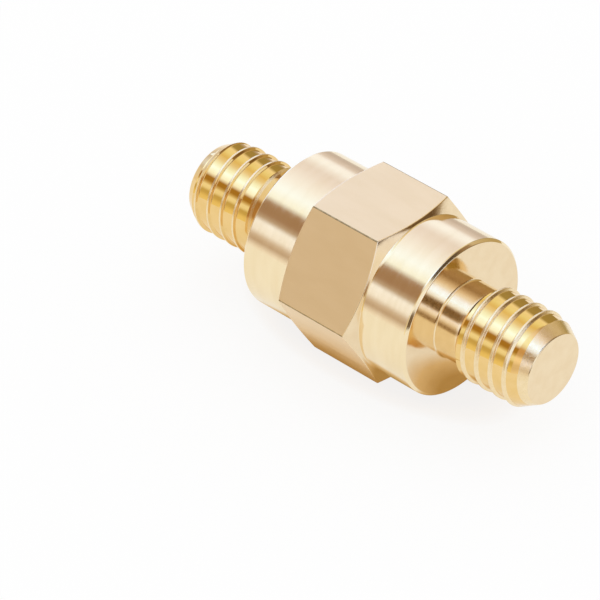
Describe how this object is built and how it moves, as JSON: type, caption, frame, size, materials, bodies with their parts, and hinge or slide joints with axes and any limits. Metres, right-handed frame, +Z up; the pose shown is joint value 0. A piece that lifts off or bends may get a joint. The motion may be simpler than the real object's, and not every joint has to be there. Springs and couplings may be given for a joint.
{
  "type": "battery terminal stud",
  "caption": "Turned brass battery terminal stud: a wrench hex between round collars, with a right-hand threaded stud on each end.",
  "frame": {"origin": "on the flat of the hex that it lies on, midway between the two ends and below the axis", "axes": "+X along the stud's axis, +Z up through the top flat of the hex, +Y across"},
  "size_m": [0.0362, 0.0162, 0.014],
  "materials": {
    "brass": "bright turned brass, satin flats"
  },
  "bodies": {
    "root": {"terminal_stud": "brass"}
  },
  "joints": []
}
